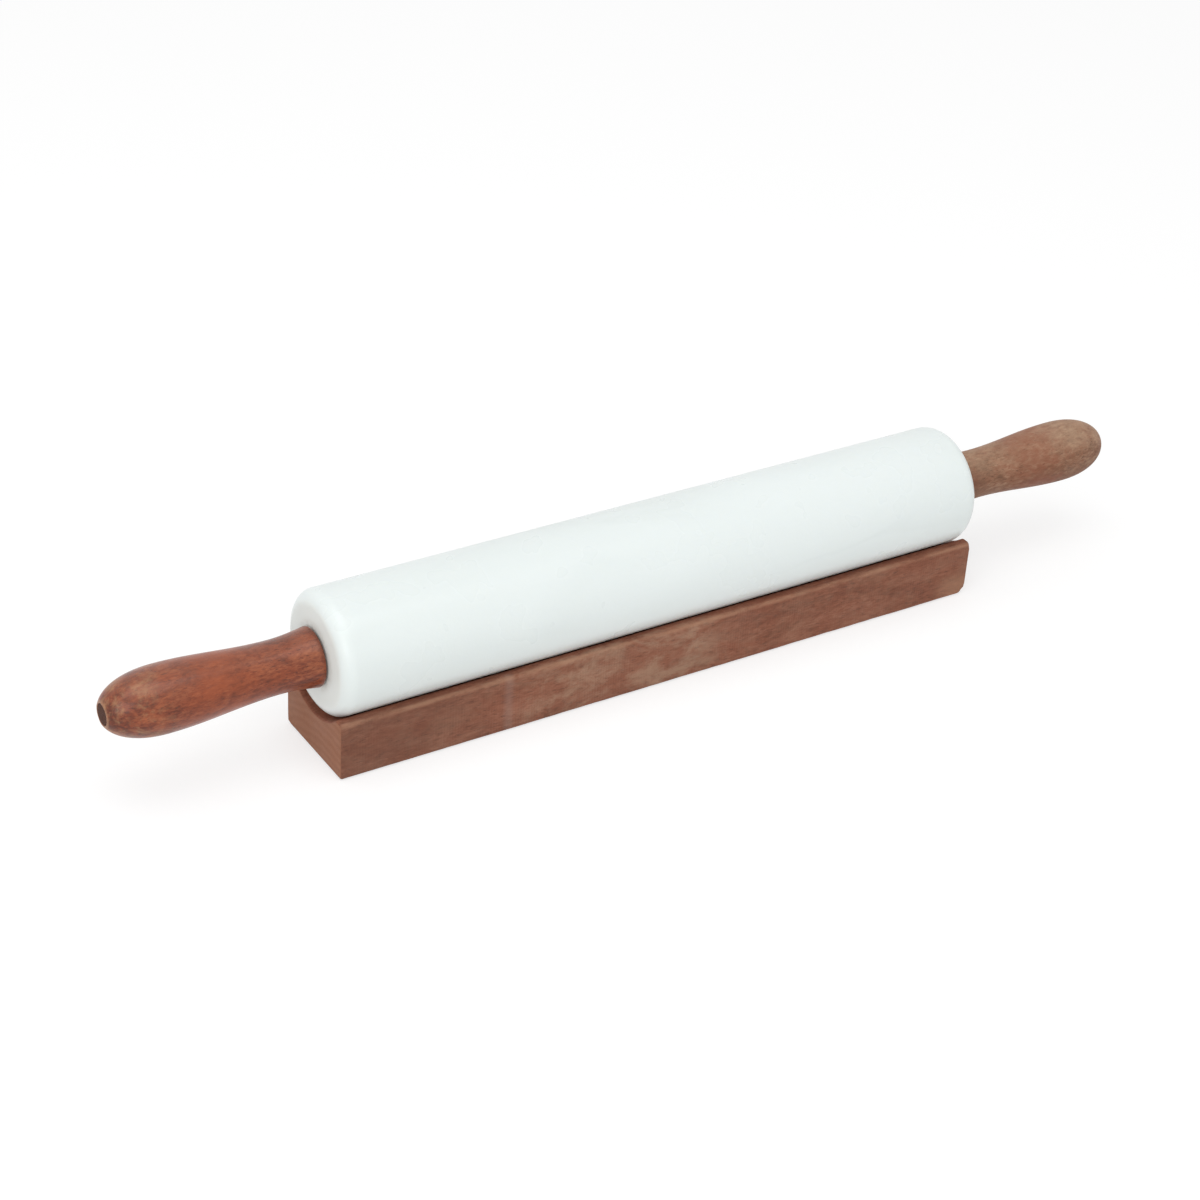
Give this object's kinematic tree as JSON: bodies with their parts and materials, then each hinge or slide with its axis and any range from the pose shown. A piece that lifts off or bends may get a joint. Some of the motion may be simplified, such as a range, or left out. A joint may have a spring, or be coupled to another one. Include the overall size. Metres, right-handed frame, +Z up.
{
  "type": "marble rolling pin",
  "caption": "Free-spinning marble rolling pin on a through axle with turned wooden handles, resting in a grooved wooden cradle.",
  "frame": {"origin": "middle of the cradle's underside, which is the bottom centre of the whole part", "axes": "+X along the pin, +Z up, +Y across the cradle away from the viewer"},
  "size_m": [0.4662, 0.05, 0.0678],
  "materials": {
    "marble": "semi-polished white marble",
    "cradle_wood": "stained and thinly oiled",
    "handle_wood": "lacquered",
    "plug_wood": "lacquered end grain",
    "steel": "drawn steel",
    "nylon": "moulded nylon"
  },
  "bodies": {
    "stand": {"cradle": "cradle_wood"},
    "grip_and_axle": {"axle_rod": "steel", "left_thrust_washer": "steel", "right_thrust_washer": "steel", "left_handle": "handle_wood", "right_handle": "handle_wood", "left_nut": "steel", "right_nut": "steel", "left_plug": "plug_wood", "right_plug": "plug_wood"},
    "roller": {"marble_barrel": "marble", "left_bushing": "nylon", "right_bushing": "nylon"}
  },
  "joints": [
    {"name": "lift_off", "type": "slide", "parent": "stand", "child": "grip_and_axle", "axis": [0, 0, 1], "range_m": [0, 0.06]},
    {"name": "barrel_spin", "type": "hinge", "parent": "grip_and_axle", "child": "roller", "pos_m": [0, 0, 0.0428], "axis": [1, 0, 0], "continuous": true}
  ]
}
